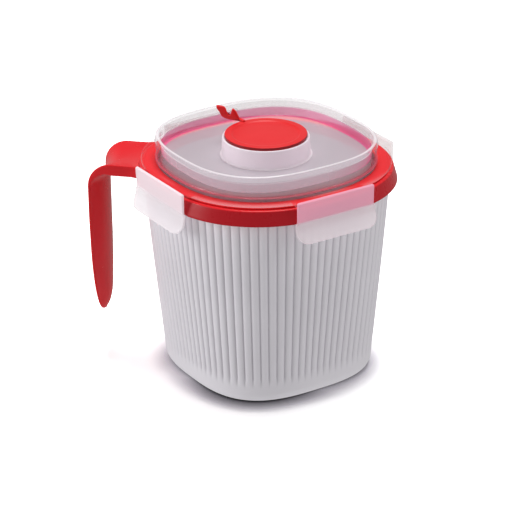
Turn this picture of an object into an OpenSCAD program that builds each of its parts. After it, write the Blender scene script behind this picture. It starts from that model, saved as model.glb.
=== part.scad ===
// Soup mug with a clip lid. Millimetres, +Z up. The origin is the centre of the base.
// The handle points along -X. The rounded square has its corners on the X and Y axes,
// and its four faces, each with a latch, look along the diagonals between them.

/* [Mug] */
// Height from the table to the underside of the collar
body_h = 97; // [85:0.5:115]
// Half the shell's width across its flat faces, at the table
base_half = 45.3; // [42:0.1:48]
// Half the shell's width across its flat faces, at the collar
mouth_half = 56.4; // [54:0.1:59]
// Power of the rounded square at the table: 2 is a circle, more is squarer
base_power = 2.94; // [2.4:0.01:3.4]
// Power of the rounded square at the collar
mouth_power = 2.35; // [2.1:0.01:2.6]
// Thickness of the outer shell
shell_wall = 2.2; // [1.8:0.1:2.6]
// Air gap between the outer shell and the inner cup
air_gap = 1.4; // [0.8:0.1:2]
// Thickness of the inner cup
cup_wall = 1.8; // [1.2:0.1:2.2]
// Height of the air gap under the inner cup
floor_gap = 3; // [1:0.5:6]
// Height of the rounded foot
foot_h = 5; // [3:0.5:7]
// How far the rounded foot draws in
foot_inset = 3.1; // [2:0.1:4]
// Radius inside the cup between its wall and its floor
cup_corner = 4; // [2:0.5:6]

/* [Reeds] */
// Number of reeds round the shell
reed_count = 84; // [40:4:96]
// Depth of the grooves between the reeds
groove_depth = 0.9; // [0.4:0.1:1.2]
// Height at which the grooves begin
groove_start = 7.5; // [7:0.5:12]
// Height over which the grooves fade in
groove_fade = 7; // [4:0.5:12]

/* [Collar] */
// Height of the collar's side
collar_h = 7.2; // [6:0.1:10]
// How far the collar's lower edge stands out from the shell
collar_reach = 3.6; // [3:0.1:5]
// How much wider the collar is at its lower edge than at its top
collar_flare = 1.8; // [1:0.1:2.4]
// Thickness of the collar's top
collar_top = 2.2; // [1.6:0.1:2.4]
// Height of the collar's wall on the inside
lining_h = 4.2; // [3.4:0.1:5]
// Radius of the collar's upper edges
collar_round = 0.8; // [0.4:0.1:1]
// Size of the slope under the collar that each latch hooks on
catch_slope = 1; // [0.6:0.1:1.2]

/* [Handle] */
// Width of the handle
handle_w = 33; // [26:0.5:36]
// Distance from the mug's axis to the rims of the grip
grip_reach = 84.6; // [80:0.2:94]
// Radius of the rims' bend between plate and grip
bend_r = 12; // [9:0.2:15]
// How far the plate's rims lie below the collar's top
plate_drop = 1; // [0.8:0.1:1.2]
// Height of the grip's tip above the table
tip_z = 19.7; // [10:0.1:35]
// Height over which the grip rounds off to its tip
tip_h = 40.3; // [24:0.1:50]
// How far the grip leans in from its straight part to its tip
grip_lean = 1.2; // [0:0.1:3]
// Thickness of the handle along its middle
handle_wall = 2.3; // [1.8:0.1:2.6]
// Depth of the plate from its rims to its back
plate_depth = 6; // [4:0.1:6]
// Depth of the grip's straight part from its rims to its back
grip_depth = 6; // [4:0.1:7]
// Depth of the tip
tip_depth = 2.4; // [1.8:0.1:3]
// Thickness of the plate's rims
plate_edge = 3.5; // [2:0.1:4]
// Thickness of the grip's rims
grip_edge = 1.2; // [1:0.1:1.6]
// Rounding of the rims
edge_round = 0.5; // [0.2:0.1:0.8]

/* [Lid] */
// Thickness of the lid's flange
flange_t = 1.6; // [1.2:0.1:2]
// How far the flange stands in from the collar's upper edge
flange_inset = 0.9; // [0.4:0.1:2]
// Height of the gap between the collar and the flange, which the seal fills
seal_gap = 1.2; // [0.8:0.1:1.6]
// Height of the raised rim above the flange
rim_h = 10.6; // [8:0.1:14]
// Thickness of the raised rim
rim_t = 2.2; // [1.6:0.1:2.6]
// How far the raised rim stands in from the collar's inner wall
rim_inset = 1.4; // [1:0.1:3]
// How far the rim's outside leans in towards its crest
rim_lean = 1; // [0.4:0.1:1.4]
// Height of the rim's rounded crest
crest_h = 1.6; // [1:0.1:2.4]
// Height of the rim's tapered part
rim_step = 3.6; // [2.6:0.1:5]
// Depth of the sunk panel below the rim's crest
panel_drop = 9.2; // [6:0.1:10]
// Thickness of the panel
panel_t = 1.6; // [1.2:0.1:2]
// Power of the rounded square at the rim's crest
rim_power = 2.72; // [2.4:0.01:3]
// Depth of the plug skirt below the flange
skirt_h = 4.5; // [3:0.1:6]
// Thickness of the plug skirt
skirt_t = 1.6; // [1.2:0.1:2]

/* [Vent] */
// Radius of the vent turret
turret_r = 21.3; // [17:0.1:23]
// Height of the turret above the panel
turret_h = 9.8; // [8.6:0.1:11]
// Thickness of the turret's wall
turret_wall = 1.2; // [1:0.1:1.8]
// How much thicker the turret's floor is than the panel
turret_sink = 0.4; // [0.2:0.1:1]
// Radius of the steam hole
steam_r = 4.6; // [3:0.1:6]
// Thickness of the wall round the steam hole
boss_wall = 1.7; // [1.2:0.1:2.4]
// Height of that wall above the panel
boss_h = 3.6; // [2:0.1:4]
// Thickness of the vent cap's edge
cap_t = 1.9; // [1.6:0.1:2.4]
// How deep the vent cap sits in the turret
cap_sink = 1.2; // [0.8:0.1:1.5]
// Depth of the dish in the vent cap
dish_depth = 0.6; // [0.2:0.1:0.8]
// How far the vent cap pulls up
vent_lift = 4; // [2:0.5:5]
// Direction in which the lift tab's arm leaves the vent
tab_turn = 138; // [90:1:180]
// Turn of the lift tab against its arm
tab_sweep = 52; // [0:1:60]
// Length of the lift tab
tab_len = 11.5; // [8:0.5:14]
// Height of the lift tab
tab_h = 8.1; // [5:0.1:10]
// Thickness of the lift tab and its arm
tab_t = 1.4; // [1:0.1:1.8]
// Radius of the section of the vent seal
vent_seal_r = 0.9; // [0.6:0.1:1.1]

/* [Latches] */
// Width of each latch
latch_w = 42.3; // [30:0.1:44]
// Thickness of each latch at its hinge and at the end of its lip
latch_t = 1.6; // [1.4:0.1:2]
// Thickness of each latch at its fold
waist_t = 1.1; // [0.9:0.1:1.4]
// Radius of the round film hinge
hinge_r = 0.85; // [0.7:0.05:1]
// Height of the hinge line above the flange's underside
hinge_rise = 1.9; // [1.6:0.1:2.2]
// How far each latch reaches below the collar
lip_h = 8.8; // [6:0.1:12]
// How far the lip flares out
lip_flare = 2.8; // [1:0.1:4]
// How much wider the lip is than the latch, on each side
lip_ear = 1; // [0:0.1:1.5]
// Radius of the lip's lower corners
lip_corner = 5; // [2:0.5:7]
// How far each latch hooks in under the collar
hook_bite = 0.7; // [0.4:0.1:0.9]
// Width of the hook
hook_w = 34; // [20:1:38]

/* [Clearances] */
// Clearance between pieces that move past each other
move_gap = 0.3; // [0.2:0.05:0.4]
// Clearance between pieces that are seated together
seat_gap = 0.1; // [0.05:0.05:0.2]

/* [Hidden] */
$fn = 64;

// Overrun of every cut past the surface that it starts from
overrun = 1;
// Points round each plain loft
ring_points = 80;
full_turn = 360;
half_turn = 180;
quarter_turn = 90;
// Turns from the X axis to the flat faces of the rounded square
face_turn = 45;
face_turns = [for (i = [0 : 3]) face_turn + quarter_turn * i];

// One reed: share of its pitch, share of the groove's depth
reed_shares = [[0, 1], [0.14, 0.3], [0.5, 0], [0.86, 0.3]];
reed_points = len(reed_shares);
// Steps of the rounded foot, as angles of its quarter ellipse
foot_angles = [0, 30, 60, 90];
// Heights of the reeded wall's rings between the end of the fade and the collar
wall_shares = [0, 0.35, 0.7, 1];
cup_corner_angles = [0, 30, 60, 90];

function mix(a, b, t) = a + (b - a) * t;

// Levels
shell_top = body_h + collar_h - collar_top - move_gap;
collar_top_z = body_h + collar_h;
flange_z = collar_top_z + seal_gap;
flange_top = flange_z + flange_t;
rim_z = flange_top + rim_h;
panel_z = rim_z - panel_drop;
turret_z = panel_z + turret_h;
cup_top = collar_top_z - lining_h - seat_gap;
cup_base = shell_wall + floor_gap;

// Half widths that follow the wall's taper
function body_half(z) = base_half + (mouth_half - base_half) * z / body_h;
function body_power(z) = base_power + (mouth_power - base_power) * min(z, body_h) / body_h;
double_wall = shell_wall + air_gap + cup_wall;
collar_outer = mouth_half + collar_reach;
collar_upper = collar_outer - collar_flare;
collar_inner = body_half(cup_top) - double_wall;
lining_t = cup_wall;
// Half width of the channel under the collar, round the shell's top edge
channel_half = body_half(shell_top) + move_gap;
flange_half = collar_upper - flange_inset;
rim_half = collar_inner - rim_inset;

// Rounded square with its flat faces on the diagonals
function squircle_r(half, power, a) =
    half / pow(pow(abs(cos(a - face_turn)), power) + pow(abs(sin(a - face_turn)), power), 1 / power);
function squircle(half, power, z, count) = [
    for (i = [0 : count - 1])
        let (a = full_turn * i / count, r = squircle_r(half, power, a))
            [r * cos(a), r * sin(a), z]
];

// Triangles between neighbouring rings, and across the ends
function band(low, high, count) = [
    for (i = [0 : count - 1])
        let (j = (i + 1) % count)
            each [[low + i, high + i, high + j], [low + i, high + j, low + j]]
];
function bands(rows, count) = [for (r = [0 : rows - 2]) each band(r * count, (r + 1) * count, count)];
function floor_face(first, count) = [for (i = [0 : count - 1]) first + i];
function ceiling_face(first, count) = [for (i = [count - 1 : -1 : 0]) first + i];

// A loft through sections [half width, power, height], closed on itself as a ring
module ring_loft(sections) {
    rows = len(sections);
    points = [for (s = sections) each squircle(s[0], s[1], s[2], ring_points)];
    polyhedron(points, concat(
        bands(rows, ring_points),
        band((rows - 1) * ring_points, 0, ring_points)
    ));
}

// A loft through the same kind of sections, from a flat base to a flat floor inside it
module cup_loft(sections) {
    rows = len(sections);
    points = [for (s = sections) each squircle(s[0], s[1], s[2], ring_points)];
    polyhedron(points, concat(
        [floor_face(0, ring_points)],
        bands(rows, ring_points),
        [ceiling_face((rows - 1) * ring_points, ring_points)]
    ));
}

// Puts its children on one of the four faces: x is the distance from the axis, y runs along the face
module on_face(turn) {
    rotate([0, 0, turn]) children();
}

// Extrudes an outline drawn as [distance from the axis, height] along the face
module along_face(width) {
    rotate([quarter_turn, 0, 0]) linear_extrude(height = width, center = true) children();
}

// Extrudes an outline drawn as [place along the face, height] away from the axis
module out_of_face(from, to) {
    translate([from, 0, 0])
        rotate([quarter_turn, 0, quarter_turn])
            linear_extrude(height = to - from) children();
}

// Outer shell

// How much of the groove there is at a height, from 0 to 1
function groove_share(z) =
    let (t = min(max((z - groove_start) / groove_fade, 0), 1))
        t * t * (3 - 2 * t);

function reeded_ring(half, power, z) = [
    for (i = [0 : reed_count - 1])
        for (p = reed_shares)
            let (
                a = full_turn * (i + p[0]) / reed_count,
                r = squircle_r(half, power, a) - groove_depth * p[1] * groove_share(z)
            )
                [r * cos(a), r * sin(a), z]
];

// The foot's half width: a quarter ellipse that meets the straight wall
function foot_half(a) = body_half(foot_h * (1 - cos(a))) - foot_inset * (1 - sin(a));

module outer_shell() {
    fade_top = groove_start + groove_fade;
    outer = concat(
        [for (a = foot_angles)
            let (z = foot_h * (1 - cos(a))) reeded_ring(foot_half(a), body_power(z), z)],
        [for (s = [0, 0.5])
            let (z = groove_start + groove_fade * s) reeded_ring(body_half(z), body_power(z), z)],
        [for (s = wall_shares)
            let (z = fade_top + (shell_top - fade_top) * s) reeded_ring(body_half(z), body_power(z), z)]
    );
    inner = [
        for (z = [shell_top, foot_h + shell_wall, shell_wall])
            let (draw_in = z > foot_h ? 0 : foot_inset)
                squircle(body_half(z) - shell_wall - draw_in, body_power(z), z, reed_count)
    ];
    outer_count = reed_count * reed_points;
    top_outer = (len(outer) - 1) * outer_count;
    top_inner = len(outer) * outer_count;
    rim = [
        for (i = [0 : reed_count - 1])
            let (here = top_inner + i, next = top_inner + (i + 1) % reed_count)
                each concat(
                    [for (p = [0 : reed_points - 1])
                        let (a = i * reed_points + p)
                            [here, top_outer + (a + 1) % outer_count, top_outer + a]],
                    [[here, next, top_outer + (i + 1) * reed_points % outer_count]]
                )
    ];
    inner_bands = [
        for (r = [0 : len(inner) - 2])
            each band(top_inner + r * reed_count, top_inner + (r + 1) * reed_count, reed_count)
    ];
    floor_ring = top_inner + (len(inner) - 1) * reed_count;
    points = concat([for (ring = outer) each ring], [for (ring = inner) each ring]);
    color("whitesmoke")
        polyhedron(points, concat(
            [floor_face(0, outer_count)],
            bands(len(outer), outer_count),
            rim,
            inner_bands,
            [ceiling_face(floor_ring, reed_count)]
        ));
}

// Inner cup

module inner_cup() {
    inset = shell_wall + air_gap;
    floor_z = cup_base + cup_wall;
    // Half widths of the cup's outside and inside at a height
    function cup_outer(z) = body_half(z) - inset;
    function cup_inside(z) = body_half(z) - double_wall;
    sections = concat(
        [for (a = cup_corner_angles)
            let (z = cup_base + (cup_corner + cup_wall) * (1 - cos(a)))
                [cup_outer(z) - (cup_corner + cup_wall) * (1 - sin(a)), body_power(z), z]],
        [[cup_outer(cup_top), body_power(cup_top), cup_top]],
        [[cup_inside(cup_top), body_power(cup_top), cup_top]],
        [for (i = [len(cup_corner_angles) - 1 : -1 : 0])
            let (a = cup_corner_angles[i], z = floor_z + cup_corner * (1 - cos(a)))
                [cup_inside(z) - cup_corner * (1 - sin(a)), body_power(z), z]]
    );
    color("white") cup_loft(sections);
}

// Collar and handle

// Distance from the axis to the flat on which each latch lies
catch_half = collar_upper;

section_steps = 10;
bend_steps = 6;
grip_steps = 4;
tip_angles = [15, 30, 45, 58, 70, 80, 88];
// Share of the grip, from the bend down, that keeps its full depth
full_share = 0.23;
// Depth of the dish at the plate's root and at the start of the bend, as shares of the most it can be
root_dish_share = 0.4;
plate_dish_share = 0.85;

crown_z = collar_top_z - plate_drop;
// The plate grows out of the middle of the collar's wall, and its root follows the wall's curve
plate_root = mix(channel_half, collar_upper, 0.25);
function root_x(y, r, steps) =
    steps == 0 ? sqrt(r * r - y * y)
    : root_x(y, squircle_r(plate_root, mouth_power, asin(y / r)), steps - 1);
bend_x = grip_reach - bend_r;
bend_z = crown_z - bend_r;
tip_start = tip_z + tip_h;
full_end = mix(bend_z, tip_z, full_share);

// Share of the grip's thinning that is reached at a height
function thinning(z) = max(full_end - z, 0) / (full_end - tip_z);

// Stations of the rims' line, each as
// [distance from the axis, height, slope, half width, depth, dish, rim thickness].
// The first one, at zero, is the root.
plate_stations = [
    for (s = [[0, root_dish_share], [bend_x, plate_dish_share]])
        [s[0], crown_z, 0, handle_w / 2, plate_depth, (plate_depth - handle_wall) * s[1], plate_edge]
];
bend_stations = [
    for (i = [1 : bend_steps])
        let (
            t = i / bend_steps,
            a = quarter_turn * t,
            depth = mix(plate_depth, grip_depth, t)
        )
            [
                bend_x + bend_r * sin(a), bend_z + bend_r * cos(a), a, handle_w / 2, depth,
                (depth - handle_wall) * mix(plate_dish_share, 1, t), mix(plate_edge, grip_edge, t)
            ]
];

// A station of the grip at a height
function grip_station(z, half) =
    let (depth = mix(grip_depth, tip_depth, thinning(z)))
        [
            grip_reach - grip_lean * thinning(z), z, quarter_turn, half, depth,
            max(depth - handle_wall, 0), grip_edge
        ];
grip_stations = [
    for (i = [1 : grip_steps])
        grip_station(mix(bend_z, tip_start, i / grip_steps), handle_w / 2)
];
tip_stations = [for (a = tip_angles) grip_station(tip_start - tip_h * sin(a), handle_w / 2 * cos(a))];
handle_stations = concat(plate_stations, bend_stations, grip_stations, tip_stations);

// One section of the trough, as [across, below the rims]: its dished outside, then its bowed back
function trough(half, depth, dish, edge) =
    let (lip = min(edge_round, half / 4), back_steps = section_steps + 2)
        concat(
            [[-half, lip]],
            [for (i = [0 : section_steps])
                let (s = -cos(half_turn * i / section_steps)) [(half - lip) * s, dish * (1 - s * s)]],
            [[half, lip]],
            [for (i = [back_steps : -1 : 0])
                let (s = -cos(half_turn * i / back_steps)) [half * s, edge + (depth - edge) * (1 - s * s)]]
        );

function place_section(station) = [
    for (p = trough(station[3], station[4], station[5], station[6]))
        let (x = station[0] > 0 ? station[0] - p[1] * sin(station[2]) : root_x(p[0], plate_root, 4))
            [-x, p[0], station[1] - p[1] * cos(station[2])]
];

module handle() {
    rows = len(handle_stations);
    side_points = section_steps + 3;
    count = 2 * side_points;
    points = [for (s = handle_stations) each place_section(s)];
    // Each end is closed by quads from the dished outside to the back
    function end_quads(first) = [
        for (i = [0 : side_points - 2])
            [first + i, first + i + 1, first + count - 2 - i, first + count - 1 - i]
    ];
    start_face = end_quads(0);
    end_face = [for (q = end_quads((rows - 1) * count)) [q[3], q[2], q[1], q[0]]];
    polyhedron(points, concat(start_face, bands(rows, count), end_face));
}

module collar_ring() {
    power = mouth_power;
    ring_loft([
        [collar_outer, power, body_h],
        [collar_upper, power, collar_top_z - collar_round],
        [collar_upper - collar_round, power, collar_top_z],
        [collar_inner + collar_round, power, collar_top_z],
        [collar_inner, power, collar_top_z - collar_round],
        [collar_inner, power, collar_top_z - lining_h],
        [collar_inner + lining_t, power, collar_top_z - lining_h],
        [collar_inner + lining_t, power, collar_top_z - collar_top],
        [channel_half, power, collar_top_z - collar_top],
        [channel_half, power, body_h]
    ]);
}

// What comes off the collar under one latch: a flat, with a slope below it for the hook
module latch_seat() {
    along_face(latch_w + 2 * lip_ear)
        polygon([
            [catch_half, collar_top_z],
            [catch_half, body_h + catch_slope],
            [catch_half - catch_slope - overrun, body_h - overrun],
            [collar_outer + overrun, body_h - overrun],
            [collar_outer + overrun, collar_top_z]
        ]);
}

module collar_handle() {
    color("crimson")
        difference() {
            union() {
                collar_ring();
                handle();
            }
            for (turn = face_turns) on_face(turn) latch_seat();
        }
}

// Lid

hinge_z = flange_z + hinge_rise;
latch_inner = catch_half + move_gap;
hinge_half = latch_inner + latch_t - hinge_r;
seat_r = hinge_r + move_gap;
turret_overlap = turret_wall / 2;

// The steps of the raised rim's rounded crest, as shares of its thickness and height
crest_shares = [[0, 0.55], [0.2, 0.85], [0.5, 1], [0.8, 0.85]];

module lid_loft() {
    power = mouth_power;
    outer_lean = rim_half - rim_lean;
    inner_half = outer_lean - rim_t;
    hole = turret_r - turret_overlap;
    circle_power = 2;
    skirt_outer = rim_half;
    ring_loft(concat(
        [
            [hole, circle_power, panel_z - panel_t],
            [skirt_outer - skirt_t, power, panel_z - panel_t],
            [skirt_outer - skirt_t, power, flange_z - skirt_h],
            [skirt_outer, power, flange_z - skirt_h],
            [skirt_outer, power, flange_z],
            [flange_half - collar_round / 2, power, flange_z],
            [flange_half, power, flange_z + flange_t / 2],
            [flange_half - collar_round / 2, power, flange_top],
            [rim_half + collar_round, power, flange_top],
            [rim_half, power, flange_top + collar_round],
            [rim_half, mix(power, rim_power, 0.5), rim_z - rim_step]
        ],
        [for (i = [len(crest_shares) - 1 : -1 : 0])
            let (s = crest_shares[i])
                [inner_half + rim_t * s[0], rim_power, rim_z - crest_h * (1 - s[1])]],
        [
            [inner_half, rim_power, panel_z + collar_round],
            [inner_half - collar_round, rim_power, panel_z],
            [hole, circle_power, panel_z]
        ]
    ));
}

module turret() {
    floor_z = panel_z - panel_t - turret_sink;
    rotate_extrude()
        polygon([
            [steam_r, floor_z],
            [turret_r, floor_z],
            [turret_r, panel_z],
            [turret_r - turret_wall / 3, turret_z],
            [turret_r - turret_wall, turret_z],
            [turret_r - turret_wall, panel_z],
            [steam_r + boss_wall, panel_z],
            [steam_r + boss_wall, panel_z + boss_h],
            [steam_r, panel_z + boss_h]
        ]);
}

// The tab of the flange that carries one latch, with a round seat for the hinge
module hinge_tab() {
    root = rim_half + collar_round;
    top = flange_top + collar_round / 2;
    difference() {
        along_face(latch_w)
            polygon([
                [root, flange_z],
                [catch_half, flange_z],
                [catch_half, top],
                [flange_half - latch_t, top],
                [root, flange_top]
            ]);
        translate([hinge_half, 0, hinge_z])
            rotate([quarter_turn, 0, 0])
                cylinder(r = seat_r, h = latch_w + 2 * overrun, center = true);
    }
}

module lid() {
    color("gainsboro")
        union() {
            lid_loft();
            turret();
            for (turn = face_turns) on_face(turn) hinge_tab();
        }
}

// Seal between the lid's flange and the collar

module lid_seal() {
    low = collar_top_z + seat_gap;
    high = flange_z - seat_gap;
    inner = rim_half + seat_gap;
    outer = collar_upper - collar_round - flange_inset;
    color("firebrick")
        ring_loft([
            [outer, mouth_power, low],
            [outer, mouth_power, high],
            [inner, mouth_power, high],
            [inner, mouth_power, low]
        ]);
}

// Latches

lip_z = body_h - lip_h;
lip_steps = 5;

// The lip's flare at a share of its height, from none at its top to all at its foot
function lip_out(share) = lip_flare * (1 - cos(quarter_turn * share));

module latch_side() {
    shares = [for (i = [0 : lip_steps]) i / lip_steps];
    polygon(concat(
        [[latch_inner, hinge_z], [latch_inner + latch_t, hinge_z]],
        [for (s = shares)
            [latch_inner + mix(waist_t, latch_t, s) + lip_out(s), mix(body_h, lip_z, s)]],
        [for (i = [lip_steps : -1 : 0])
            let (s = shares[i]) [latch_inner + lip_out(s), mix(body_h, lip_z, s)]]
    ));
}

module hook_side() {
    bottom = body_h - move_gap * sqrt(2);
    slope_top = bottom + catch_slope;
    tip = catch_half - hook_bite;
    root = latch_inner + waist_t / 2;
    polygon([
        [root, slope_top + move_gap],
        [latch_inner, slope_top + move_gap],
        [tip, slope_top - hook_bite],
        [tip, slope_top - hook_bite - hook_bite / 2],
        [latch_inner, slope_top - 3 * catch_slope],
        [root, slope_top - 3 * catch_slope]
    ]);
}

module latch_front() {
    ear_z = body_h + lip_ear;
    half = latch_w / 2;
    wide = half + lip_ear;
    translate([-half, body_h - lip_ear]) square([latch_w, hinge_z - body_h + lip_ear + hinge_r]);
    translate([-wide, lip_z + lip_corner]) square([2 * wide, ear_z - lip_z - lip_corner]);
    translate([-wide + lip_corner, lip_z]) square([2 * (wide - lip_corner), ear_z - lip_z]);
    for (side = [-1, 1])
        translate([side * (wide - lip_corner), lip_z + lip_corner]) circle(r = lip_corner);
}

module latch(turn) {
    color("gainsboro")
        on_face(turn)
            union() {
                intersection() {
                    along_face(latch_w + 2 * lip_ear) latch_side();
                    out_of_face(latch_inner - overrun, latch_inner + latch_t + lip_flare + overrun)
                        latch_front();
                }
                along_face(hook_w) hook_side();
                translate([hinge_half, 0, hinge_z])
                    rotate([quarter_turn, 0, 0]) cylinder(r = hinge_r, h = latch_w, center = true);
            }
}

module latch_front_left() {
    latch(face_turns[2]);
}

module latch_front_right() {
    latch(face_turns[3]);
}

module latch_back_left() {
    latch(face_turns[1]);
}

module latch_back_right() {
    latch(face_turns[0]);
}

// Vent cap

cap_r = turret_r - turret_wall - move_gap;
cap_z = turret_z - cap_sink;
cap_round = cap_t / 3;
skirt_r = cap_r - cap_round;
cap_skirt_t = turret_wall;
cap_skirt_h = vent_lift + turret_wall;
stem_r = steam_r - move_gap;
stem_end = panel_z - panel_t - turret_sink;
shoulder_r = steam_r + boss_wall;
seal_z = panel_z + boss_h + vent_seal_r + seat_gap;
shoulder_z = seal_z + vent_seal_r + seat_gap;
groove_r = stem_r - vent_seal_r / 2;
seal_r = groove_r + seat_gap + vent_seal_r;

module vent_cap() {
    top = cap_z + cap_t;
    rim_in = cap_r - 2 * cap_t;
    color("crimson")
        union() {
            rotate_extrude()
                polygon([
                    [0, stem_end],
                    [stem_r, stem_end],
                    [stem_r, seal_z - vent_seal_r],
                    [groove_r, seal_z - vent_seal_r],
                    [groove_r, shoulder_z],
                    [shoulder_r, shoulder_z],
                    [shoulder_r, cap_z],
                    [skirt_r - cap_skirt_t, cap_z],
                    [skirt_r - cap_skirt_t, cap_z - cap_skirt_h],
                    [skirt_r, cap_z - cap_skirt_h],
                    [skirt_r, cap_z],
                    [cap_r, cap_z + cap_round],
                    [cap_r, top - cap_round],
                    [cap_r - cap_round, top],
                    [rim_in + cap_round, top],
                    [rim_in - cap_round, top - dish_depth],
                    [0, top - dish_depth]
                ]);
            lift_tab();
        }
}

// Outline of the lift tab, as shares of its length and height: two prongs that curl outwards
tab_shares = [
    [0, 0], [0.04, 0.28], [0.16, 0.65], [0.31, 0.84], [0.37, 0.62], [0.38, 0.41], [0.48, 0.4],
    [0.55, 0.62], [0.59, 0.82], [0.7, 0.94], [1, 1], [0.98, 0.82], [0.85, 0.59], [0.82, 0.45],
    [0.72, 0.25], [0.5, 0.12], [0.11, 0]
];

// A finger tab that stands at the end of an arm, just outside the turret
module lift_tab() {
    arm_start = cap_r - cap_t;
    rotate([0, 0, tab_turn])
        translate([0, 0, turret_z + seat_gap]) {
            translate([arm_start, -tab_t / 2, 0]) cube([turret_r + tab_t - arm_start, tab_t, tab_t]);
            translate([turret_r, 0, 0])
                rotate([quarter_turn, 0, tab_sweep])
                    linear_extrude(height = tab_t, center = true)
                        polygon([for (s = tab_shares) [s[0] * tab_len, s[1] * tab_h]]);
        }
}

module vent_seal() {
    color("firebrick")
        rotate_extrude() translate([seal_r, seal_z]) circle(r = vent_seal_r);
}

outer_shell();
inner_cup();
collar_handle();
lid();
lid_seal();
latch_front_left();
latch_front_right();
latch_back_left();
latch_back_right();
vent_cap();
vent_seal();
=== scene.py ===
import math

import bpy
from mathutils import Matrix, Vector


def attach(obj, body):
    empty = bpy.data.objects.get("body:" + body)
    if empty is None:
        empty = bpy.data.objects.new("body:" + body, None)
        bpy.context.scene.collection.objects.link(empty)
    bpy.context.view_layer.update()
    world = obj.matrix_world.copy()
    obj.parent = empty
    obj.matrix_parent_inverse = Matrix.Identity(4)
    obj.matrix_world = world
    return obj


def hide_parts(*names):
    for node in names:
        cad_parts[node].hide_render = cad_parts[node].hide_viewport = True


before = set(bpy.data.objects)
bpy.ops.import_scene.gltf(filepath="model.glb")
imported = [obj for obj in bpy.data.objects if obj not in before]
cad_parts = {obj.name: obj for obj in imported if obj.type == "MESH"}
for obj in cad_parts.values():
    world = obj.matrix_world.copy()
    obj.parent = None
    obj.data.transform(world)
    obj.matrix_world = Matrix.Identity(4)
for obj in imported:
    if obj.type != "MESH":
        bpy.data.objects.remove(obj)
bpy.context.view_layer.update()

MM = 0.001

# Sizes in millimetres, the part's own. Three are read closer off the photograph here: the height of
# the turret, TURRET_Z, the depth of the plate's rims, PLATE_EDGE, and that of the grip's tip, TIP_DEPTH
BODY_H = 97.0
BASE_HALF, MOUTH_HALF = 45.3, 56.4
BASE_POWER, MOUTH_POWER = 2.94, 2.35
SHELL_WALL, AIR_GAP, CUP_WALL = 2.2, 1.4, 1.8
SHELL_TOP = 101.7
CUP_BASE, CUP_TOP, CUP_CORNER = 5.2, 99.9, 4.0
FOOT_H, FOOT_INSET = 5.0, 3.1
REEDS, GROOVE = 84, 0.9
GROOVE_START, GROOVE_FADE = 7.5, 7.0
COLLAR_TOP = 104.2
COLLAR_OUTER, COLLAR_UPPER, COLLAR_INNER = 60.0, 58.2, 51.33
CHANNEL_HALF = 57.24
LINING_H, LINING_T = 4.2, 1.8
CATCH_HALF = 58.2
FLANGE_Z, FLANGE_TOP, FLANGE_HALF = 105.4, 107.0, 57.3
RIM_HALF, RIM_LEAN, RIM_T, RIM_POWER = 49.93, 1.0, 2.2, 2.72
RIM_Z, PANEL_Z, PANEL_T = 117.6, 108.4, 1.6
LEDGE_Z, LEDGE = 113.4, 0.35
SKIRT_H, SKIRT_T = 4.5, 1.6
TURRET_R, TURRET_WALL, TURRET_Z, TURRET_SINK = 21.3, 1.2, 117.6, 0.4
STEAM_R, BOSS_WALL, BOSS_H = 4.6, 1.7, 3.6
HINGE_Z, HINGE_HALF, HINGE_R = 107.3, 59.25, 0.85
LATCH_IN, LATCH_T, WAIST_T, LATCH_W = 58.5, 1.6, 1.1, 42.3
LIP_Z, LIP_FLARE, LIP_EAR, LIP_CORNER = 88.2, 2.8, 1.0, 5.0
HOOK_W, HOOK_BITE = 34.0, 0.7
CAP_R, CAP_Z, CAP_T, DISH = 19.8, 117.0, 1.9, 0.6
SKIRT_R, CAP_SKIRT_H = 19.17, 5.2
TAB_TURN, TAB_SWEEP, TAB_LEN, TAB_H, TAB_T, TAB_Z = 138.0, 52.0, 11.5, 8.1, 1.4, 118.3
FACE_TURN = math.pi / 4
FACES = {"back_right": 45, "back_left": 135, "front_left": 225, "front_right": 315}


def mix(a, b, t):
    return a + (b - a) * t


def nearest_face(angle):
    """Direction of the flat face that an angle is closest to."""
    return math.radians(min(FACES.values(), key=lambda f: abs(math.cos(angle - math.radians(f)) - 1)))


def squircle_r(half, power, angle):
    """Radius of the rounded square, whose flat faces are on the diagonals, towards an angle."""
    c, s = abs(math.cos(angle - FACE_TURN)), abs(math.sin(angle - FACE_TURN))
    return half / (c**power + s**power) ** (1 / power)


def body_half(z):
    return mix(BASE_HALF, MOUTH_HALF, z / BODY_H)


def body_power(z):
    return mix(BASE_POWER, MOUTH_POWER, min(z, BODY_H) / BODY_H)


def even_angles(count):
    return [2 * math.pi * i / count for i in range(count)]


def arc(centre, radius, start, end, steps):
    """Points of a circle's arc in a profile, between two angles in degrees."""
    out = []
    for i in range(steps + 1):
        a = math.radians(mix(start, end, i / steps))
        out.append((centre[0] + radius * math.cos(a), centre[1] + radius * math.sin(a)))
    return out


def make_mesh(name, points, faces, smooth_angle=32):
    """A mesh object from points in millimetres, smooth except across edges sharper than the angle."""
    mesh = bpy.data.meshes.new(name)
    mesh.from_pydata([Vector(p) * MM for p in points], [], faces)
    mesh.validate()
    mesh.update()
    obj = bpy.data.objects.new(name, mesh)
    bpy.context.scene.collection.objects.link(obj)
    mesh.shade_smooth()
    mesh.set_sharp_from_angle(angle=math.radians(smooth_angle))
    return obj


def loft(rows, closed_profile=True, cap_low=False, cap_high=False):
    """Points and faces through rows of points that all have the same count."""
    count = len(rows[0])
    points = [p for row in rows for p in row]
    faces = []
    spans = len(rows) if closed_profile else len(rows) - 1
    for r in range(spans):
        low, high = r * count, ((r + 1) % len(rows)) * count
        for i in range(count):
            j = (i + 1) % count
            faces.append((low + i, low + j, high + j, high + i))
    if cap_low:
        faces.append(tuple(range(count - 1, -1, -1)))
    if cap_high:
        first = (len(rows) - 1) * count
        faces.append(tuple(range(first, first + count)))
    return points, faces


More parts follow.
